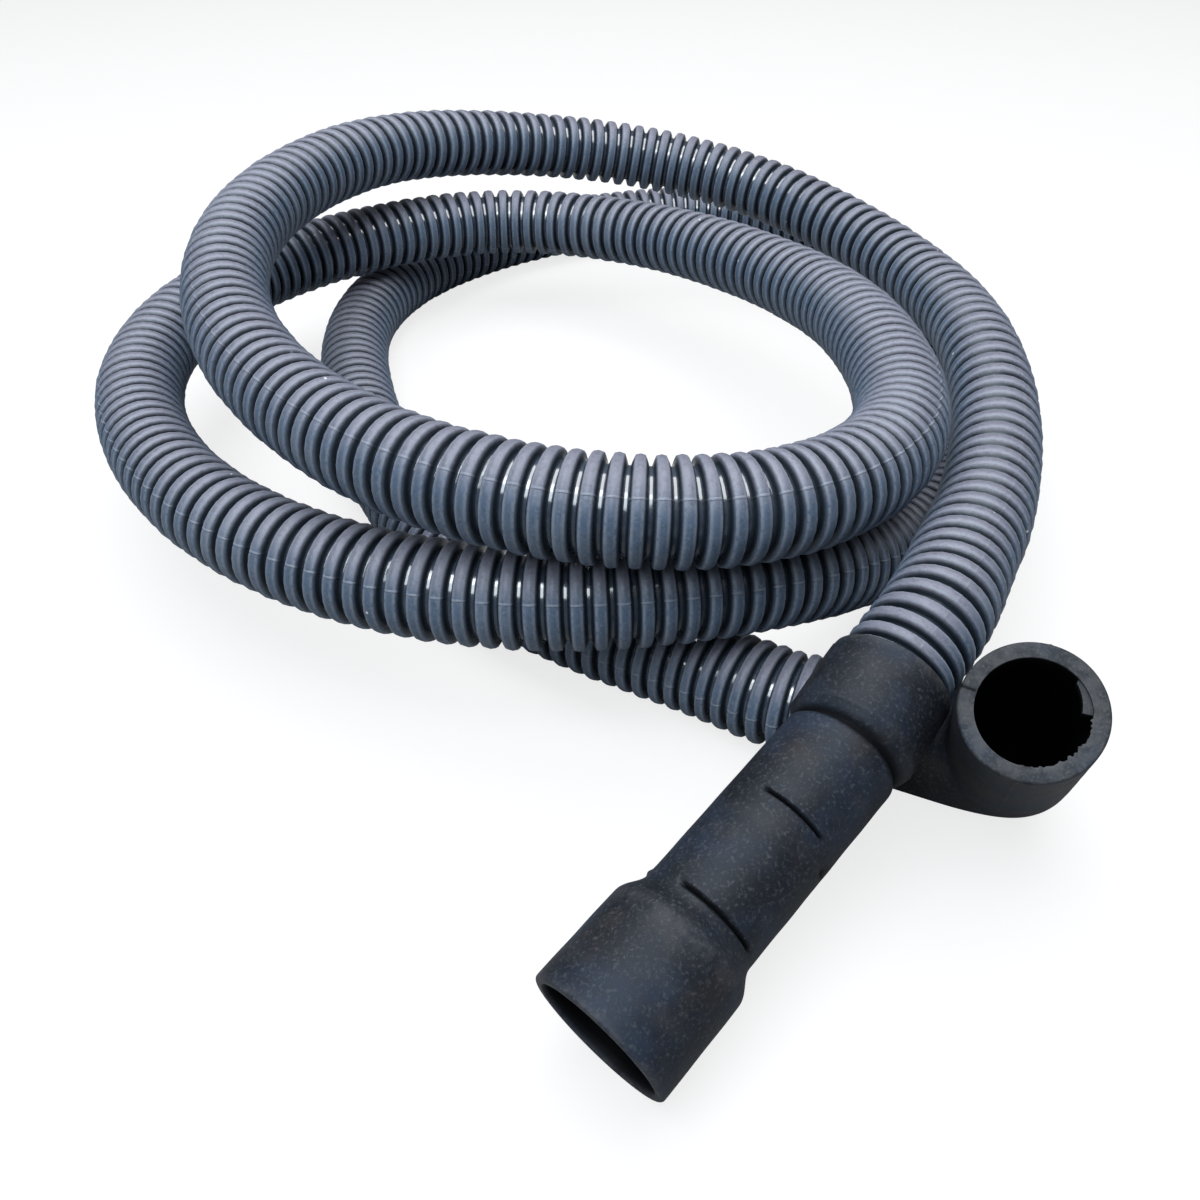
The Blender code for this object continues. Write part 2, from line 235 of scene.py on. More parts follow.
@dataclass(frozen=True)
class HosePlastic:
    """Satin blue-grey corrugated plastic with shiny grooves, mould lines and a little dust; its grooves are
    darkened with painted shade, its upper side lightened with painted light, and its rib edges lined with painted
    highlights.
    """

    crest: Color = (0.078, 0.118, 0.18)
    # Painted light: a lighter lilac colour for the hose's upper side.
    painted_top_light: Color = (0.176, 0.177, 0.224)
    # Painted shade: darker colours for the grooves' walls and floors than for the crests.
    wall: Color = (0.014, 0.019, 0.026)
    floor: Color = (0.045, 0.06, 0.085)
    # A lighter colour, used for painted highlights along the rib edges and also for lighter mottling, grit and the
    # mould lines.
    edge: Color = (0.27, 0.3, 0.36)
    speck: Color = (0.7, 0.72, 0.74)
    seam_turn: float = math.radians(65.0)
    seam_twist: float = math.radians(-27.0)
    seam_width: float = 0.03
    broad_scale: float = 38.0
    dust_scale: float = 420.0
    fine_scale: float = 900.0
    grit_scale: float = 1700.0
    pore_scale: float = 2600.0
    relief_depth: float = 0.0002

    def build(self) -> Material:
        """Makes the material.

        Returns:
            The material, which reads the attributes rib_height, along and around.
        """
        material, graph, shader, coords = new_shader("hose_plastic_corrugated")
        height = graph.attribute("rib_height")
        parts = graph.node("ShaderNodeSeparateXYZ", {}, {0: graph.attribute("around", "Vector")}).outputs
        across, rise = Value(graph, parts[0]), Value(graph, parts[1]) * -1
        seam = self.seam(graph, across, rise)
        broad = graph.noise(coords, self.broad_scale, 2.0)
        fine = graph.noise(coords, self.fine_scale, 3.0, 0.6)
        grit = graph.noise(coords, self.grit_scale, 2.0, 0.7)
        pores = graph.noise(coords, self.pore_scale, 2.0)
        crest = height.ramp(0.48, 0.94)
        # Painted highlight: thin lighter lines along the edges of the rib crests.
        painted_edge_highlight = height.ramp(0.78, 0.89) * height.ramp(0.97, 0.91)
        # Painted shade: the grooves' floors and walls are painted much darker than the crests, the walls darkest.
        groove = graph.mix(height.ramp(0.02, 0.3), self.floor, self.wall)
        # Painted light: the crests turn lighter and lilac towards the hose's upper side, as if lit from above.
        crest_with_top_light = graph.mix(rise.ramp(0.35, 1.0), self.crest, self.painted_top_light)
        color = graph.paint(graph.mix(crest, groove, crest_with_top_light), (
            (broad.ramp(0.5, 0.8) * crest * 0.3, self.edge),
            (painted_edge_highlight * fine.ramp(0.3, 0.6) * 0.7, self.edge),
            # A random darker mottle, laid on in the walls' painted shade colour.
            (fine.ramp(0.4, 0.75) * 0.32, self.wall),
            (grit.ramp(0.52, 0.74) * crest * 0.3, self.edge),
            (seam * crest * 0.5, self.edge),
            (graph.specks(coords, self.dust_scale, 0.16, 0.018) * crest, self.speck),
        ))
        rough = 0.2 + height.ramp(0.1, 0.9) * 0.24 + (broad - 0.5) * 0.16 + (fine - 0.5) * 0.14
        relief = seam * height * 1.6 + pores * 0.22 + broad * 0.5
        graph.feed(shader, {
            "Base Color": color,
            "Roughness": rough.clamped(),
            "Normal": graph.bump(relief, 0.5, self.relief_depth),
            "Coat Weight": height.ramp(0.3, 0.05) * rise.ramp(0.45, 0.65) * 0.9,
            "Coat Roughness": 0.12,
            "Coat IOR": 2.3,
            "IOR": 1.5,
            "Specular Tint": (0.86, 0.93, 1.0, 1.0),
        })
        return material

    def seam(self, graph: Graph, across: Value, rise: Value) -> Value:
        """The two raised lines that the mould's halves leave, which turn slowly round the hose."""
        along = graph.attribute("along")
        turn = along * self.seam_twist + self.seam_turn
        off_line = across * turn.math("SINE") - rise * turn.math("COSINE")
        line = off_line.math("ABSOLUTE").ramp(self.seam_width, self.seam_width * 0.4)
        return line * (along.ramp(0.35, 0.75) * 0.8 + 0.2)


@dataclass(frozen=True)
class ConnectorRubber:
    """Matt charcoal rubber with dust, brownish patches and scuffed edges; its bore and creases are painted dark and
    matt as shade.
    """

    name: str
    base: Color = (0.007, 0.0085, 0.012)
    sheen_patch: Color = (0.014, 0.022, 0.04)
    brown_patch: Color = (0.022, 0.018, 0.016)
    dust: Color = (0.1, 0.108, 0.122)
    worn: Color = (0.075, 0.076, 0.08)
    # Painted shade: the near-black laid on in the bore and the creases.
    bore: Color = (0.003, 0.003, 0.0035)
    patch_scale: float = 62.0
    scratch_scale: float = 420.0
    dust_scale: float = 800.0
    grain_scale: float = 1500.0
    grit_scale: float = 2300.0
    pore_scale: float = 5200.0
    relief_depth: float = 0.00018

    def build(self) -> Material:
        """Makes the material.

        Returns:
            The material, which reads the attributes wear and inside; inside lays on the painted shade.
        """
        material, graph, shader, coords = new_shader(self.name)
        wear, inside = graph.attribute("wear"), graph.attribute("inside")
        patches = graph.noise(coords, self.patch_scale, 4.0, 0.6)
        stains = graph.noise(coords, self.patch_scale * 1.7, 3.0, 0.55)
        grain = graph.noise(coords, self.grain_scale, 4.0, 0.65)
        scratch = graph.noise(coords, self.scratch_scale, 5.0, 0.7)
        pores = graph.noise(coords, self.pore_scale, 2.0)
        color = graph.paint(self.base, (
            (patches.ramp(0.42, 0.68) * 0.85, self.sheen_patch),
            (stains.ramp(0.5, 0.75) * 0.6, self.brown_patch),
            (grain.ramp(0.5, 0.72) * 0.36, self.dust),
            (graph.specks(coords, self.dust_scale, 0.16, 0.05) * 0.45, self.dust),
            ((wear * scratch.ramp(0.3, 0.62)).clamped() * 0.85, self.worn),
            (graph.specks(coords, self.grit_scale, 0.26, 0.16) * 0.4, self.dust),
            # Painted shade, laid on where the attribute inside says so.
            (inside, self.bore),
        ))
        rough = 0.58 + (patches - 0.5) * 0.3 + (grain - 0.5) * 0.25 + wear * 0.06
        relief = grain * 0.5 + scratch * 0.35 + pores * 0.2
        graph.feed(shader, {
            "Base Color": color,
            "Roughness": rough.clamped(),
            "Normal": graph.bump(relief, 0.55, self.relief_depth),
            "IOR": 1.37,
            "Specular Tint": (0.78, 0.87, 1.0, 1.0),
        })
        # Painted shade: a near-black matt sheet with almost no reflection, blended over the rubber in the bore and
        # creases.
        painted_shade_sheet = {"Base Color": (*self.bore, 1.0), "Roughness": 0.95, "Specular IOR Level": 0.02}
        both = graph.blend(inside * 0.92, shader, graph.node("ShaderNodeBsdfPrincipled", {}, painted_shade_sheet))
        graph.feed(graph.tree.nodes["Material Output"], {0: both})
        return material


def add_object(name: str, data: bpy.types.ID) -> Object:
    """Adds an object to the scene."""
    made = bpy.data.objects.new(name, data)
    bpy.context.scene.collection.objects.link(made)
    return made


def direction(azimuth: float, elevation: float) -> np.ndarray:
    """The unit vector at an azimuth from +X and an elevation above the floor, in radians."""
    level = math.cos(elevation)
    return np.array([level * math.cos(azimuth), level * math.sin(azimuth), math.sin(elevation)])


def unit(vector: np.ndarray) -> np.ndarray:
    """The vector at length 1."""
    return vector / np.linalg.norm(vector)


def ring_points(center: np.ndarray, side: np.ndarray, up: np.ndarray, wide: Amount, tall: Amount,
                angles: np.ndarray) -> np.ndarray:
    """A ring of points, wide along side and tall along up, where its first point lies."""
    turn = np.radians(angles)
    return center + (np.sin(turn) * wide)[:, None] * side + (np.cos(turn) * tall)[:, None] * up


def eased(share: float) -> float:
    """A share from 0 to 1, with a soft start and end."""
    return (1 - math.cos(math.pi * share)) / 2


def turned_from(angles: np.ndarray, start: float) -> np.ndarray:
    """The angles counted from another one, from -180 to 180 degrees."""
    return (angles - start + 180) % 360 - 180


def arc_weight(angles: np.ndarray, start: float, end: float, fade: float = 4.0) -> np.ndarray:
    """1 inside an arc of angles in degrees and 0 outside it, with a short fade at both ends."""
    away = np.abs(turned_from(angles, (start + end) / 2))
    return np.clip(((end - start) / 2 - away) / fade + 0.5, 0, 1)


def bump_weight(distance: Amount, width: float) -> Amount:
    """A smooth bump of height 1 that fades over a width."""
    return np.exp(-((distance / width) ** 2))


def slow_noise(angles: np.ndarray, place: float, seed: int, waves: int = 7) -> np.ndarray:
    """Seeded noise round a ring, from -1 to 1, which changes slowly from place to place along the piece."""
    source = np.random.default_rng(seed)
    total = np.zeros_like(angles)
    for wave in range(1, waves + 1):
        phase, drift, size = source.uniform(0, 2 * math.pi), source.uniform(-900, 900), source.uniform(0.4, 1.0)
        total = total + size / wave * np.sin(np.radians(angles) * wave + phase + drift * place)
    return total / 2


def finish_piece(piece: Object, material: Optional[Material] = None) -> None:
    """Gives a piece its material, and lets it ride on the part's one body."""
    if material is not None:
        piece.data.materials.clear()
        piece.data.materials.append(material)
    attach(piece, BODY)


@dataclass
class MouldedTube:
    """What both connectors share: rings of corners, an uneven skin with two mould lines, and the hose's socket."""

    socket_radius: float = 0.0108
    socket_depth: float = 0.012
    sides: int = 112
    seed: int = 11
    unevenness: float = 0.00007
    mould_lines: Pair = (-82.0, 98.0)
    mould_line_height: float = 0.00009
    mould_line_width: float = 0.9

    @property
    def angles(self) -> np.ndarray:
        """The angles of a ring's corners, in degrees."""
        return np.arange(self.sides) * (360.0 / self.sides)

    def skin(self, place: float) -> np.ndarray:
        """How far the plain skin stands out round a ring."""
        height = slow_noise(self.angles, place, self.seed) * self.unevenness
        for line in self.mould_lines:
            away = turned_from(self.angles, line)
            height = height + self.mould_line_height * bump_weight(away, self.mould_line_width)
        return height


@dataclass
class RingMesh:
    """A closed moulded tube, made of rings that run down its outside and back up its bore."""

    name: str
    sides: int
    sharp_angle: float = math.radians(50)
    # Painted shade in the bore: how dark it is at the mouth, and the depth over which it turns fully dark.
    mouth_darkness: float = 0.45
    dark_depth: float = 0.004
    rings: list = field(default_factory=list)
    wear: list = field(default_factory=list)
    inside: list = field(default_factory=list)

    def add(self, points: np.ndarray, wear: Amount, depth: Optional[float] = None, crease: Amount = 0.0) -> None:
        """Adds one ring.

        Args:
            points: Its corners.
            wear: How scuffed it is, from 0 to 1, as one number or one for each corner.
            depth: How far inside the bore it lies, in metres, or None on the outside and the rims; depth darkens it
                as painted shade.
            crease: How much painted shade it gets in a crease, from 0 to 1.
        """
        self.rings.append(points)
        self.wear.append(np.broadcast_to(wear, self.sides))
        # Painted shade: rings grow darker with depth into the bore, and take any painted crease shade.
        depth_shade = 0.0 if depth is None else min(1.0, self.mouth_darkness + depth / self.dark_depth)
        self.inside.append(np.broadcast_to(np.maximum(depth_shade, crease), self.sides))

    def build(self) -> Object:
        """Makes the mesh object, with its attributes wear and inside, where inside holds the painted shade."""
        count = len(self.rings)
        corners = np.arange(self.sides)
        after = (corners + 1) % self.sides
        faces = []
        for ring in range(count):
            one, two = ring * self.sides, (ring + 1) % count * self.sides
            faces.extend(np.stack([one + corners, one + after, two + after, two + corners], axis=1).tolist())
        data = bpy.data.meshes.new(self.name)
        data.from_pydata(np.concatenate(self.rings).tolist(), [], faces)
        for name, values in (("wear", self.wear), ("inside", self.inside)):
            store = data.attributes.new(name, "FLOAT", "POINT")
            store.data.foreach_set("value", np.concatenate(values).astype(np.float32))
        data.shade_smooth()
        data.set_sharp_from_angle(angle=self.sharp_angle)
        return add_object(self.name, data)


@dataclass
class StraightConnector(MouldedTube):
    """The straight stepped rubber connector. Stations run along its axis from the mouth, which is on the floor."""

    mouth_place: Pair = (0.0017, -0.184)
    azimuth: float = math.radians(46.3)
    slope: float = math.radians(14.5)
    cuff_turn: float = math.radians(7.0)
    mouth_radius: float = 0.0129
    big_end_radius: float = 0.01275
    big_end_length: float = 0.018
    big_end_bore_radius: float = 0.0111
    shoulder_length: float = 0.0055
    neck_start_radius: float = 0.0105
    neck_end_radius: float = 0.0106
    neck_length: float = 0.0393
    neck_bore_radius: float = 0.0078
    step_length: float = 0.0026
    cuff_radius: float = 0.0117
    cuff_length: float = 0.0145
    grooves: tuple = ((0.0445, 0.00028, -10.0, 58.0), (0.024, 0.00034, -10.0, 76.0))
    groove_depth: float = 0.0008
    groove_lip: float = 0.00012
    step_crease: float = 0.0009
    bead_height: float = 0.00035
    notch_place: Pair = (0.0422, 92.0)
    notch_depth: float = 0.0007
    nick_depth: float = 0.0004
    mouth_round: float = 0.0006
    cuff_round: float = 0.0005

    @property
    def shoulder_end(self) -> float:
        """The station where the shoulder meets the neck."""
        return self.big_end_length + self.shoulder_length

    @property
    def neck_end(self) -> float:
        """The station where the neck meets the cuff's step."""
        return self.shoulder_end + self.neck_length

    @property
    def length(self) -> float:
        """The connector's length along its axis."""
        return self.neck_end + self.step_length + self.cuff_length

    @property
    def scuffs(self) -> tuple:
        """The station, width and strength of each scuffed edge."""
        return (self.big_end_length, 0.0016, 0.3), (self.length - 0.0005, 0.0009, 0.5), (0.0, 0.0007, 0.75)

    def axis(self, station: float) -> tuple[np.ndarray, np.ndarray]:
        """Centre and direction of the axis at a station. It turns a little where the soft cuff starts."""
        turn_end = self.length - self.cuff_length
        turn_start = turn_end - self.step_length * 2
        center = np.array([*self.mouth_place, self.mouth_radius * math.cos(self.slope)])
        straight = direction(self.azimuth, self.slope)
        if station <= turn_start:
            return center + straight * station, straight
        center = center + straight * turn_start
        share = min(1.0, (station - turn_start) / (turn_end - turn_start))
        turned = direction(self.azimuth + self.cuff_turn * share, self.slope)
        halfway = direction(self.azimuth + self.cuff_turn * share / 2, self.slope)
        center = center + halfway * (share * (turn_end - turn_start))
        return center + turned * max(0.0, station - turn_end), turned

    def ring(self, station: float, radius: Amount) -> np.ndarray:
        """A ring square to the axis. Its first corner is the uppermost one."""
        center, along = self.axis(station)
        side = unit(np.cross(along, UP))
        return ring_points(center, side, np.cross(side, along), radius, radius, self.angles)

    def outside_radius(self, station: float) -> float:
        """The plain outside radius at a station, with its shoulder and step."""
        if station < self.big_end_length:
            return float(np.interp(station, [0, self.big_end_length], [self.mouth_radius, self.big_end_radius]))
        if station < self.shoulder_end:
            drop = eased((station - self.big_end_length) / self.shoulder_length)
            return self.big_end_radius + (self.neck_start_radius - self.big_end_radius) * drop
        if station < self.neck_end:
            share = (station - self.shoulder_end) / self.neck_length
            return self.neck_start_radius + (self.neck_end_radius - self.neck_start_radius) * share
        share = min(1.0, (station - self.neck_end) / self.step_length)
        return self.neck_end_radius + (self.cuff_radius - self.neck_end_radius) * share**1.6

    def relief(self, station: float) -> tuple[np.ndarray, np.ndarray, np.ndarray]:
        """The surface's small forms.

        Args:
            station: Where along the axis.

        Returns:
            How far the surface stands out, in metres, how scuffed it is and how much painted shade lies in its
            creases, from 0 to 1.
        """
        angles = self.angles
        height = self.skin(station)
        dark = np.zeros_like(angles)
        for place, width, start, end in self.grooves:
            reach = arc_weight(angles, start, end)
            groove = bump_weight(station - place, width) * reach
            lip = bump_weight(station - place - 2.2 * width, width) * reach
            height = height - self.groove_depth * groove + self.groove_lip * lip
            # Painted shade: the grooves are painted dark.
            dark = np.maximum(dark, 0.95 * groove)
        step = bump_weight(station - self.neck_end + 0.0001, 0.0008)
        bead = bump_weight(station - self.shoulder_end - 0.0006, 0.0005) * arc_weight(angles, -100, -62, 12)
        height = height - self.step_crease * step + self.bead_height * bead
        notch_station, notch_angle = self.notch_place
        notch = bump_weight(station - notch_station, 0.0008) * bump_weight(turned_from(angles, notch_angle), 9.0)
        # Painted shade: the step under the cuff's lip is painted dark round part of the neck, and the notch too.
        dark = np.maximum(np.maximum(dark, 0.9 * step * arc_weight(angles, -75, 125, 40)), 0.8 * notch)
        nicks = bump_weight(station - self.length, 0.0012) * arc_weight(angles, -74, -56, 3)
        jags = 0.5 + 0.5 * np.sin(np.radians(angles * 38))
        height = height - self.notch_depth * notch - self.nick_depth * nicks * jags
        wear = 0.22 * np.abs(slow_noise(angles, station, self.seed + 1))
        for place, width, amount in self.scuffs:
            wear = wear + amount * bump_weight(station - place, width)
        return height, np.clip(wear, 0, 1), np.clip(dark, 0, 1)

    def outside_stations(self) -> list[float]:
        """The stations of the rings down the outside, close together where the surface turns."""
        plain = np.linspace(0.0007, self.length - 0.0006, 92)
        close = [np.linspace(place - width * 2.4, place + width * 2.4, 13) for place, width, _, _ in self.grooves]
        shoulder = np.linspace(self.big_end_length - 0.0008, self.shoulder_end, 15)
        step = np.linspace(self.neck_end - 0.002, self.neck_end + self.step_length + 0.0005, 25)
        stations = np.sort(np.concatenate([plain, *close, shoulder, step]))
        keep = np.concatenate([[True], np.diff(stations) > 0.00006])
        return stations[keep].tolist()

    def build(self) -> Object:
        """Makes the connector's mesh.

        Returns:
            The finished piece, without its material.
        """
        mesh = RingMesh("straight_connector", self.sides)
        for step in range(5):
            turn = math.pi / 2 * step / 5
            station = self.mouth_round * (1 - math.cos(turn))
            height, wear, _ = self.relief(station)
            radius = self.mouth_radius - self.mouth_round * (1 - math.sin(turn)) + height
            mesh.add(self.ring(station, radius), wear)
        for station in self.outside_stations():
            height, wear, dark = self.relief(station)
            mesh.add(self.ring(station, self.outside_radius(station) + height), wear, crease=dark)
        for step in range(1, 6):
            turn = math.pi / 2 * step / 5
            station = self.length - self.cuff_round * (1 - math.sin(turn))
            height, wear, _ = self.relief(station)
            radius = self.cuff_radius - self.cuff_round * (1 - math.cos(turn)) + height
            mesh.add(self.ring(station, radius), wear)
        for station, radius, *rest in self.bore_rows():
            mesh.add(self.ring(station, radius), *rest)
        return mesh.build()

    def bore_rows(self) -> list[tuple]:
        """The bore's rings, from the cuff's rim back to the mouth.

        Returns:
            Each ring's station, radius and wear, with its depth where it lies inside the bore.
        """
        floor = self.length - self.socket_depth
        neck, big_end = self.neck_bore_radius, self.big_end_bore_radius
        rows = [
            (self.length, self.socket_radius + 0.0002, 0.4),
            (self.length - 0.0003, self.socket_radius, 0.0, 0.0),
            (floor, self.socket_radius, 0.0, floor),
            (floor, neck, 0.0, floor),
        ]
        rows += [(station, neck, 0.0, station) for station in np.linspace(floor - 0.001, self.shoulder_end, 9)]
        for share in (0.25, 0.5, 0.75, 1.0):
            station = self.shoulder_end - self.shoulder_length * share
            rows.append((station, neck + (big_end - neck) * eased(share), 0.0, station))
        for station in (0.013, 0.008, 0.004, 0.002, 0.0009):
            radius = big_end + slow_noise(self.angles, station, self.seed + 2) * 0.00008
            rows.append((station, radius, 0.2, station))
        lip = big_end + 0.0003 + slow_noise(self.angles, 0.0, self.seed + 2) * 0.00012
        return rows + [(0.0002, lip - 0.0001, 0.6), (0.0, lip, 0.6)]


@dataclass
class ElbowConnector(MouldedTube):
    """The right-angle rubber elbow. Distances run from the corner where the axes of its two legs cross."""

    sides: int = 240
    corner_place: Pair = (0.0797, -0.1262)
    entry_azimuth: float = math.radians(-24.5)
    rise_angle: float = math.radians(54.3)
    entry_length: float = 0.0235
    entry_radius: float = 0.0117
    riser_length: float = 0.0415
    riser_radius: float = 0.0114
    bore_radius: float = 0.0088
    inside_fillet: float = 0.0012
    outside_fillet: float = 0.018
    ledge_arc: Pair = (-53.0, -15.0)
    ledge_heights: Pair = (0.0005, 0.0016)
    ledge_depth: float = 0.0008
    flash_arc: Pair = (-12.0, 88.0)
    flash_reach: Pair = (0.0011, 0.0004)
    parting_angle: float = -175.0
    mould_lines: Pair = (90.0, -90.0)
    mould_line_height: float = 0.0001
    mould_line_width: float = 1.0
    unevenness: float = 0.00006
    mouth_round: float = 0.00045
    # A depth that paints the socket's floor and the bend's bore fully dark, as painted shade.
    deep: float = 0.02
    seed: int = 29

    def __post_init__(self) -> None:
        """Works out the corner and the directions of the two legs."""
        self.corner = np.array([*self.corner_place, self.entry_radius])
        self.entry = direction(self.entry_azimuth, 0.0)
        self.riser = direction(self.entry_azimuth - math.pi / 2, self.rise_angle)
        self.across = np.cross(self.entry, self.riser)

    def riser_ring(self, place: float, radius: Amount) -> np.ndarray:
        """A ring round the riser, at a distance from the corner."""
        center = self.corner + self.riser * place
        return ring_points(center, self.across, self.entry, radius, radius, self.angles)

    def entry_ring(self, place: float, radius: Amount) -> np.ndarray:
        """A ring round the entry leg, at a distance from the corner."""
        center = self.corner - self.entry * place
        return ring_points(center, self.across, -self.riser, radius, radius, self.angles)

    def bend_ring(self, turn: float, wall: float, height: Amount) -> np.ndarray:
        """A ring in the bend.

        Args:
            turn: The angle round the tight inside corner, in radians.
            wall: 0 on the outside, and the wall's thickness in the bore.
            height: How far the surface stands out.

        Returns:
            The ring's corners.
        """
        pivot = self.corner + (self.riser - self.entry) * (self.entry_radius + self.inside_fillet)
        outward = self.entry * math.sin(turn) - self.riser * math.cos(turn)
        length = self.inside_fillet + 2 * self.entry_radius
        fillet_center = length - self.outside_fillet
        tangent = math.atan2(fillet_center, length)
        if turn <= tangent:
            far = length / math.cos(turn)
        elif turn >= math.pi / 2 - tangent:
            far = length / math.sin(turn)
        else:
            spread = fillet_center * (math.cos(turn) - math.sin(turn))
            far = fillet_center * (math.cos(turn) + math.sin(turn)) + math.sqrt(self.outside_fillet**2 - spread**2)
        center = pivot + outward * (far + self.inside_fillet) / 2
        wide, tall = self.entry_radius - wall + height, (far - self.inside_fillet) / 2 - wall + height
        return ring_points(center, self.across, outward, wide, tall, self.angles)

    def build(self) -> Object:
        """Makes the elbow's mesh.

        Returns:
            The finished piece, without its material.
        """
        mesh = RingMesh("elbow_piece", self.sides)
        parting = self.parting()
        scuff = 0.35 * np.abs(slow_noise(self.angles, 0.3, self.seed + 1))
        for step in range(5):
            turn = math.pi / 2 * step / 4
            place = self.riser_length - self.mouth_round * (1 - math.cos(turn))
            radius = self.riser_radius - self.mouth_round * (1 - math.sin(turn)) + self.skin(place)
            mesh.add(self.riser_ring(place, radius - 0.0001 * parting), 0.5, crease=parting)
        bend_reach = self.entry_radius + self.inside_fillet
        for place in np.linspace(self.riser_length - 0.0012, bend_reach + 0.0006, 26):
            drop = self.riser_length - place
            share = drop / (self.riser_length - bend_reach)
            radius = self.riser_radius + (self.entry_radius - self.riser_radius) * share + self.skin(place)
            mesh.add(self.riser_ring(place, radius), scuff + 0.5 * bump_weight(drop, 0.001))
        for turn in np.linspace(math.pi / 2, 0, 33):
            height = self.skin(0.012 + turn * 0.01)
            mesh.add(self.bend_ring(turn, 0.0, height), scuff + 0.1)
        for place in np.linspace(bend_reach + 0.0006, self.entry_length - 0.0005, 12):
            mesh.add(self.entry_ring(place, self.entry_radius + self.skin(place)), scuff)
        mesh.add(self.entry_ring(self.entry_length, self.entry_radius - 0.0004), 0.4)
        self.add_bore(mesh, bend_reach)
        return mesh.build()

    def add_bore(self, mesh: RingMesh, bend_reach: float) -> None:
        """Adds the rings of the socket and the bore, up to the mouth's torn inner edge, with painted shade deep in
        the bore and below the mouth.
        """
        floor = self.entry_length - self.socket_depth
        mesh.add(self.entry_ring(self.entry_length, self.socket_radius), 0.3)
        for radius in (self.socket_radius, self.bore_radius):
            mesh.add(self.entry_ring(floor, radius), 0.0, self.deep)
        for turn in np.linspace(0.12, math.pi / 2, 14):
            mesh.add(self.bend_ring(turn, self.entry_radius - self.bore_radius, 0.0), 0.0, self.deep)
        ledge = np.interp(turned_from(self.angles, 0.0), self.ledge_arc, self.ledge_heights)
        ledge = ledge * arc_weight(self.angles, *self.ledge_arc, fade=1.5)
        shelf = self.riser_length - self.ledge_depth
        for place in np.linspace(bend_reach + 0.001, shelf - 0.005, 8):
            mesh.add(self.riser_ring(place, self.bore_radius), 0.0, self.riser_length - place)
        # Painted shade: the bore under the ledge is painted dark, and the shelf too except where the ledge stands
        # out.
        dark = 0.75 * (1 - np.clip(ledge / self.ledge_heights[0], 0, 1))
        for place, share, crease in ((shelf - 0.0032, 1.0, 0.95), (shelf, 1.0, dark), (shelf + 0.0001, 0.0, dark)):
            mesh.add(self.riser_ring(place, self.bore_radius - ledge * share), 0.4, crease=crease)
        flash = self.torn_flash()
        for drop, share in ((0.0009, 0.0), (0.00055, 0.75), (0.0003, 1.0), (0.00008, 0.8)):
            mesh.add(self.riser_ring(self.riser_length - drop, self.bore_radius - flash * share), 0.9)
        lip = self.bore_radius + 0.0003 - flash * 0.2
        mesh.add(self.riser_ring(self.riser_length, lip), 0.7, crease=self.parting())

    def parting(self) -> np.ndarray:
        """The dark line that the mould left across the rim."""
        return bump_weight(turned_from(self.angles, self.parting_angle), 1.2)

    def torn_flash(self) -> np.ndarray:
        """How far the torn skin of rubber reaches into the bore round part of the mouth."""
        angles = self.angles
        source = np.random.default_rng(self.seed)
        knots = np.arange(0, 361, 2.0)
        jags = source.uniform(0.0, 1.0, len(knots)) ** 2.2
        jags[-1] = jags[0]
        fine = source.uniform(0.75, 1.0, len(angles))
        reach = np.interp(turned_from(angles, 0.0), self.flash_arc, self.flash_reach)
        return reach * np.interp(angles, knots, jags) * fine * arc_weight(angles, *self.flash_arc, fade=6)


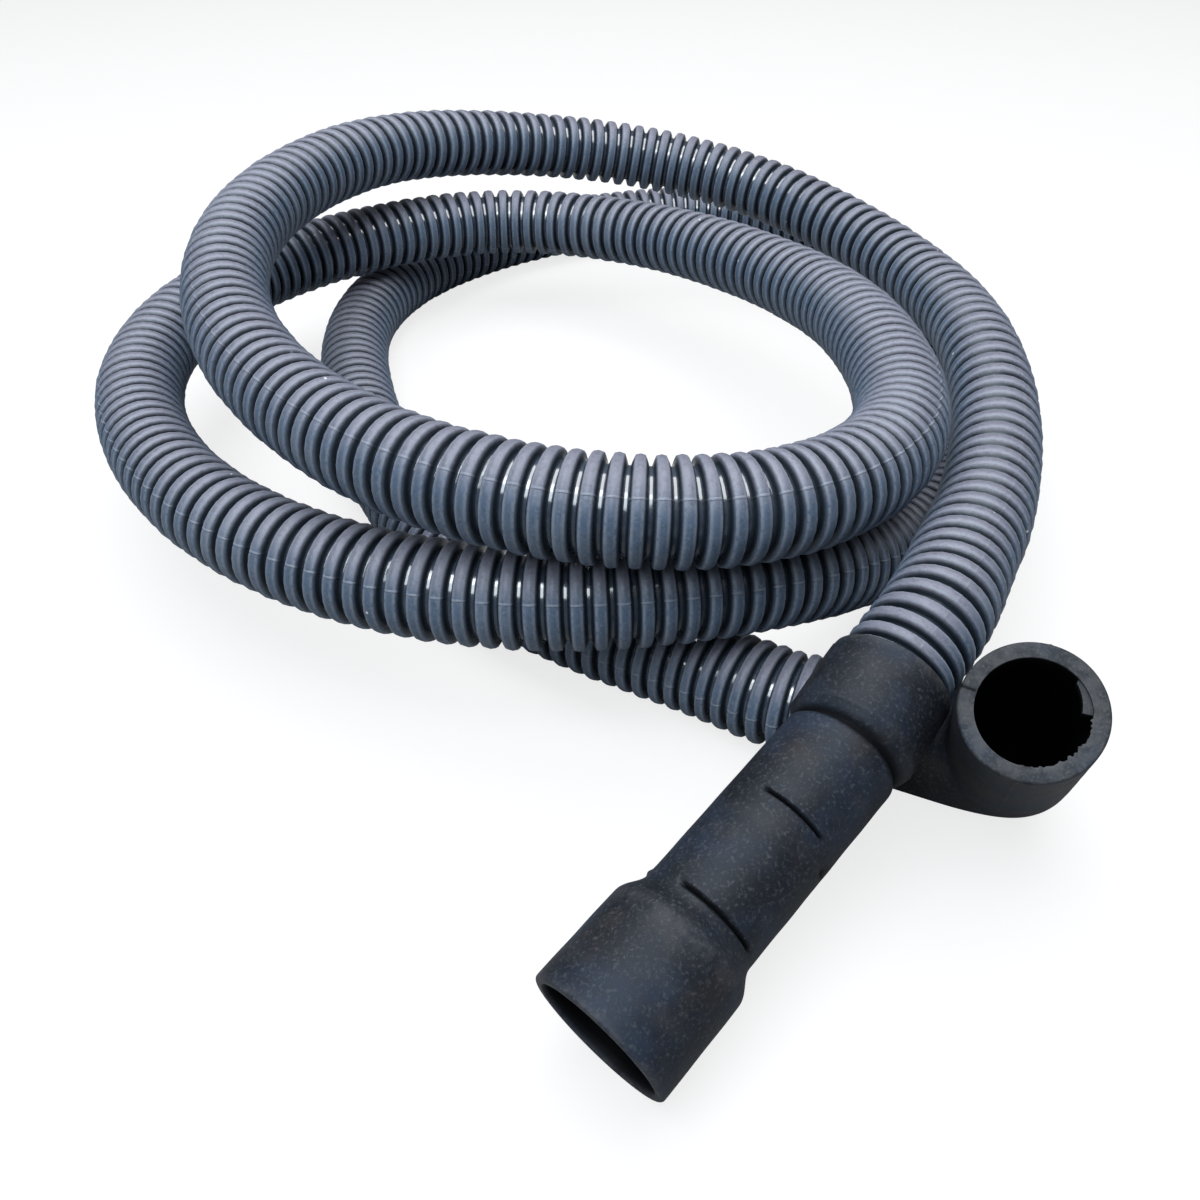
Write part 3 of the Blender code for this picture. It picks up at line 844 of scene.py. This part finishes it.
class RibbedHoseTree:
    """The node tree that turns a line with a few points a rib into a ribbed hose."""

    PHASES = (0.06, 0.165, 0.268, 0.5, 0.732, 0.835, 0.94)
    HEIGHTS = (0.0, 0.5, 0.9, 1.0, 0.9, 0.5, 0.0)
    SEED = 5
    INPUTS = (
        ("Radius", "NodeSocketFloat"),
        ("Groove Depth", "NodeSocketFloat"),
        ("Sides", "NodeSocketInt"),
        ("Unevenness", "NodeSocketFloat"),
        ("Material", "NodeSocketMaterial"),
    )

    def __init__(self) -> None:
        """Builds the tree."""
        self.tree = bpy.data.node_groups.new("ribbed_hose", "GeometryNodeTree")
        self.graph = Graph(self.tree)
        interface = self.tree.interface
        interface.new_socket("Geometry", in_out="INPUT", socket_type="NodeSocketGeometry")
        for name, kind in self.INPUTS:
            interface.new_socket(name, in_out="INPUT", socket_type=kind)
        interface.new_socket("Geometry", in_out="OUTPUT", socket_type="NodeSocketGeometry")
        self.build()

    def pick(self, step: Value, values: Sequence[float]) -> Value:
        """One of a few numbers, chosen by a ring's place in its rib."""
        node = self.graph.node("GeometryNodeIndexSwitch", {"data_type": "FLOAT"})
        while len(node.index_switch_items) < len(values):
            node.index_switch_items.new()
        self.graph.feed(node, dict(enumerate((step, *values))))
        return Value(self.graph, node.outputs[0])

    def build(self) -> None:
        """Fills the tree: each point of the line becomes a ring, as high as its place in its rib says."""
        graph = self.graph
        given = graph.node("NodeGroupInput").outputs
        radius, depth = Value(graph, given["Radius"]), Value(graph, given["Groove Depth"])
        line = graph.node("GeometryNodeMeshToCurve", {}, {0: given["Geometry"]})
        index = graph.value("GeometryNodeInputIndex", {}, {})
        rib = (index + 0.5).math("DIVIDE", len(self.HEIGHTS)).math("FLOOR")
        height = self.pick((index - rib * len(self.HEIGHTS)).math("ROUND"), self.HEIGHTS)
        draw = {"ID": rib, "Seed": self.SEED}
        chance = graph.value("FunctionNodeRandomValue", {"data_type": "FLOAT"}, draw, 1)
        uneven = (chance - 0.5) * Value(graph, given["Unevenness"])
        upright = graph.node("GeometryNodeSetCurveNormal", {"mode": "Z_UP"}, {"Curve": line})
        marked = self.store(upright, "rib_height", "FLOAT", height)
        size = radius - depth * (1 - height) + uneven * height
        circle = graph.node("GeometryNodeCurvePrimitiveCircle", {}, {"Resolution": given["Sides"], "Radius": 1.0})
        profile = self.store(circle, "around", "FLOAT_VECTOR", graph.node("GeometryNodeInputPosition"))
        marked = graph.node("GeometryNodeSetCurveRadius", {}, {"Curve": marked, "Radius": size})
        scale = graph.node("GeometryNodeInputRadius")
        sockets = {"Curve": marked, "Profile Curve": profile, "Scale": scale}
        tube = graph.node("GeometryNodeCurveToMesh", {}, sockets)
        smooth = graph.node("GeometryNodeSetShadeSmooth", {}, {0: tube})
        whole = graph.node("GeometryNodeRealizeInstances", {}, {0: smooth})
        dressed = graph.node("GeometryNodeSetMaterial", {}, {"Geometry": whole, "Material": given["Material"]})
        graph.node("NodeGroupOutput", {}, {0: dressed})

    def store(self, geometry: Node, name: str, kind: str, value: Feed) -> Node:
        """Stores a named attribute on a geometry's points."""
        settings = {"data_type": kind, "domain": "POINT"}
        sockets = {"Geometry": geometry, "Name": name, "Value": value}
        return self.graph.node("GeometryNodeStoreNamedAttribute", settings, sockets)

    def apply(self, name: str, line: Mesh, sizes: dict) -> Object:
        """Runs the tree on a line of edges.

        Args:
            name: The new piece's name.
            line: The edges to follow, with one point for each ring.
            sizes: The tree's inputs by name.

        Returns:
            A plain mesh object.
        """
        carrier = add_object(name + "_line", line)
        modifier = carrier.modifiers.new("ribs", "NODES")
        modifier.node_group = self.tree
        for item in self.tree.interface.items_tree:
            if item.in_out == "INPUT" and item.name in sizes:
                modifier[item.identifier] = sizes[item.name]
        carrier.update_tag()
        bpy.context.view_layer.update()
        evaluated = carrier.evaluated_get(bpy.context.evaluated_depsgraph_get())
        data = bpy.data.meshes.new_from_object(evaluated)
        data.name = name
        bpy.data.objects.remove(carrier)
        return add_object(name, data)


@dataclass
class CorrugatedHose:
    """The hose itself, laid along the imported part's centre line."""

    straight: StraightConnector
    elbow: ElbowConnector
    diameter: float = 0.021
    groove_depth: float = 0.0022
    unevenness: float = 0.00016
    bore_radius: float = 0.0078
    sides: int = 28
    clearance: float = 0.0003
    seen_bore: float = 0.012
    sharp_angle: float = math.radians(58)
    line_samples: int = 4000
    spacing_samples: int = 6000
    end_reach: int = 4

    def guide_points(self) -> np.ndarray:
        """The points that the centre line passes through, sockets included."""
        rim = self.straight.length
        start, _ = self.straight.axis(rim - self.straight.socket_depth + self.clearance)
        leave, _ = self.straight.axis(rim)
        arrive = self.elbow.corner - self.elbow.entry * self.elbow.entry_length
        inner = self.elbow.entry_length - self.elbow.socket_depth + self.clearance
        return np.array([start, leave, *ROUTE, arrive, self.elbow.corner - self.elbow.entry * inner])

    def center_line(self) -> np.ndarray:
        """Points along the natural cubic spline through the guide points."""
        points = self.guide_points()
        knots = np.concatenate([[0.0], np.cumsum(np.linalg.norm(np.diff(points, axis=0), axis=1))])
        gaps = np.diff(knots)
        count = len(points)
        system = np.eye(count)
        right = np.zeros((count, 3))
        slopes = np.diff(points, axis=0) / gaps[:, None]
        right[1:-1] = 6 * np.diff(slopes, axis=0)
        for row in range(1, count - 1):
            system[row, row - 1 : row + 2] = gaps[row - 1], 2 * (gaps[row - 1] + gaps[row]), gaps[row]
        bends = np.linalg.solve(system, right)
        places = np.linspace(0.0, knots[-1], self.line_samples)
        span = np.clip(np.searchsorted(knots, places, side="right") - 1, 0, count - 2)
        ahead, behind = (knots[span + 1] - places)[:, None], (places - knots[span])[:, None]
        gap = gaps[span][:, None]
        curved = (bends[span] * ahead**3 + bends[span + 1] * behind**3) / (6 * gap)
        from_start = (points[span] / gap - bends[span] * gap / 6) * ahead
        from_end = (points[span + 1] / gap - bends[span + 1] * gap / 6) * behind
        return curved + from_start + from_end

    def ring_places(self, length: float) -> np.ndarray:
        """Where the rings lie along a hose of this length, with a whole number of ribs spaced by RIB_PITCHES."""
        places = np.linspace(0.0, length, self.spacing_samples)
        ribs_a_metre = 1 / np.interp(places, *np.array(RIB_PITCHES).T)
        ribs = np.concatenate([[0.0], np.cumsum((ribs_a_metre[1:] + ribs_a_metre[:-1]) / 2 * np.diff(places))])
        whole = math.floor(ribs[-1])
        rings = (np.arange(whole)[:, None] + np.array(RibbedHoseTree.PHASES)).ravel()
        return np.interp(rings * ribs[-1] / whole, ribs, places)

    def build(self, material: Material) -> tuple[Object, np.ndarray, float]:
        """Makes the hose.

        Args:
            material: The hose's finish.

        Returns:
            The piece, its centre line and its length.
        """
        line = self.center_line()
        along = np.concatenate([[0.0], np.cumsum(np.linalg.norm(np.diff(line, axis=0), axis=1))])
        places = self.ring_places(along[-1])
        rings = np.stack([np.interp(places, along, line[:, axis]) for axis in range(3)], axis=1)
        data = bpy.data.meshes.new("hose_line")
        data.from_pydata(rings.tolist(), [(ring, ring + 1) for ring in range(len(rings) - 1)], [])
        store = data.attributes.new("along", "FLOAT", "POINT")
        store.data.foreach_set("value", places.astype(np.float32))
        sizes = {
            "Radius": self.diameter / 2,
            "Groove Depth": self.groove_depth,
            "Sides": self.sides,
            "Unevenness": self.unevenness,
            "Material": material,
        }
        piece = RibbedHoseTree().apply("corrugated_hose", data, sizes)
        self.close_ends(piece, line)
        piece.data.set_sharp_from_angle(angle=self.sharp_angle)
        return piece, line, float(along[-1])

    def close_ends(self, piece: Object, line: np.ndarray) -> None:
        """Turns both cut ends in to the bore, and closes them a little way inside it."""
        shell = bmesh.new()
        shell.from_mesh(piece.data)
        height = shell.verts.layers.float.get("rib_height")
        rims = {edge.verts[0] for edge in shell.edges if edge.is_boundary}
        for center, beyond in ((line[0], line[self.end_reach]), (line[-1], line[-1 - self.end_reach])):
            inward = unit(beyond - center)
            ring = [corner for corner in rims if np.linalg.norm(np.array(corner.co) - center) < self.diameter]
            ring.sort(key=lambda corner: corner.index)
            for push in (0.0, self.seen_bore):
                inner = []
                for corner in ring:
                    offset = np.array(corner.co) - center
                    offset = offset - inward * float(offset @ inward)
                    inner.append(shell.verts.new(center + unit(offset) * self.bore_radius + inward * push, corner))
                    inner[-1][height] = 0.0
                for place in range(len(ring)):
                    corners = ring[place - 1], ring[place], inner[place], inner[place - 1]
                    shell.faces.new(corners, ring[place].link_faces[0])
                ring = inner
            shell.faces.new(ring)
        bmesh.ops.recalc_face_normals(shell, faces=shell.faces)
        shell.to_mesh(piece.data)
        shell.free()


@dataclass
class Studio:
    """The camera, the floor and the light."""

    camera_place: Place = (0.0022, -0.2733, 0.1649)
    camera_tilt: float = math.radians(52.066)
    focal_length_mm: float = 33.157
    sensor_width_mm: float = 36.0
    floor_color: Color = (0.82, 0.82, 0.82)
    bounce_color: Color = (0.3, 0.3, 0.3)
    floor_whiteness: float = 0.78
    floor_reach: float = 3.0
    floor_height: float = -0.0001
    lamp_aim: Place = (0.0, 0.0, 0.03)

    def add_camera(self) -> None:
        """Adds the camera at the photograph's place, level and looking along +Y."""
        data = bpy.data.cameras.new("camera")
        data.sensor_width = self.sensor_width_mm
        data.lens = self.focal_length_mm
        data.clip_start = 0.01
        camera = add_object("camera", data)
        camera.location = self.camera_place
        camera.rotation_euler = (self.camera_tilt, 0.0, 0.0)
        bpy.context.scene.camera = camera

    def add_floor(self) -> None:
        """Adds a plain pale floor that looks white to the camera and keeps the shadows."""
        data = bpy.data.meshes.new("floor")
        square = ((-1, -1), (1, -1), (1, 1), (-1, 1))
        corners = [(x * self.floor_reach, y * self.floor_reach, self.floor_height) for x, y in square]
        data.from_pydata(corners, [], [(0, 1, 2, 3)])
        floor = add_object("floor", data)
        material, graph, shader, _ = new_shader("floor_paper")
        graph.feed(shader, {"Base Color": (*self.floor_color, 1.0), "Roughness": 0.9, "Specular IOR Level": 0.1})
        white = graph.node("ShaderNodeEmission", {}, {"Color": (1.0, 1.0, 1.0, 1.0), "Strength": 1.0})
        seen = graph.value("ShaderNodeLightPath", {}, {}, "Is Camera Ray")
        bright = graph.blend(seen * self.floor_whiteness, shader, white)
        dull = graph.node("ShaderNodeBsdfDiffuse", {}, {"Color": (*self.bounce_color, 1.0)})
        both = graph.blend(seen, dull, bright)
        graph.feed(graph.tree.nodes["Material Output"], {0: both})
        data.materials.append(material)

    def add_lamp(self, name: str, place: Place, size: float, power: float, color: Color) -> None:
        """Adds a square soft lamp aimed at the middle of the hose."""
        data = bpy.data.lights.new(name, "AREA")
        data.shape, data.size, data.energy, data.color = "SQUARE", size, power, color
        lamp = add_object(name, data)
        lamp.location = place
        aim = unit(np.array(self.lamp_aim) - np.array(place))
        tilt = math.atan2(aim[2], math.hypot(aim[0], aim[1]))
        lamp.rotation_euler = (math.pi / 2 + tilt, 0.0, math.atan2(aim[1], aim[0]) - math.pi / 2)

    def add_light(self) -> None:
        """Adds the sky and the lamps."""
        world = bpy.data.worlds.new("studio")
        bpy.context.scene.world = world
        world.use_nodes = True
        graph = Graph(world.node_tree)
        sky = graph.tree.nodes["Background"]
        graph.feed(sky, {"Color": (0.88, 0.94, 1.0, 1.0), "Strength": 0.1})
        white = graph.node("ShaderNodeBackground", {}, {"Color": (1.0, 1.0, 1.0, 1.0), "Strength": 1.0})
        seen = graph.value("ShaderNodeLightPath", {}, {}, "Is Camera Ray")
        graph.feed(graph.tree.nodes["World Output"], {0: graph.blend(seen, sky, white)})
        self.add_lamp("window", place=(-0.25, -0.5, 0.8), size=0.7, power=6.0, color=(0.86, 0.94, 1.0))
        self.add_lamp("overhead", place=(0.0, 0.05, 0.8), size=1.0, power=11.0, color=(0.97, 0.98, 1.0))

    def build(self) -> None:
        """Adds everything that isn't the object."""
        self.add_camera()
        self.add_floor()
        self.add_light()


def main() -> None:
    """Builds the scene, piece by piece."""
    logging.basicConfig(level=logging.INFO, format="%(name)s: %(message)s")
    bpy.context.scene.view_settings.view_transform = "Standard"
    studio = Studio()
    studio.build()
    LOG.info("studio: camera, floor and light")

    straight, elbow = StraightConnector(), ElbowConnector()
    hose_maker = CorrugatedHose(straight, elbow)
    hose, line, length = hose_maker.build(HosePlastic().build())
    finish_piece(hose)
    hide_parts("hose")
    LOG.info("corrugated hose: %.3f m, %d faces", length, len(hose.data.polygons))

    connector = straight.build()
    finish_piece(connector, ConnectorRubber("connector_rubber_straight").build())
    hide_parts("drain_connector")
    LOG.info("straight connector: %.1f mm long", straight.length * 1000)

    turned = elbow.build()
    elbow_rubber = ConnectorRubber("connector_rubber_elbow", base=(0.01, 0.011, 0.012),
                                   brown_patch=(0.026, 0.022, 0.018), dust=(0.13, 0.132, 0.138))
    finish_piece(turned, elbow_rubber.build())
    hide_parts("elbow_connector")
    LOG.info("elbow connector: %d faces", len(turned.data.polygons))

    line[::8].tolist() + [line[-1].tolist()]


if __name__ == "__main__":
    main()
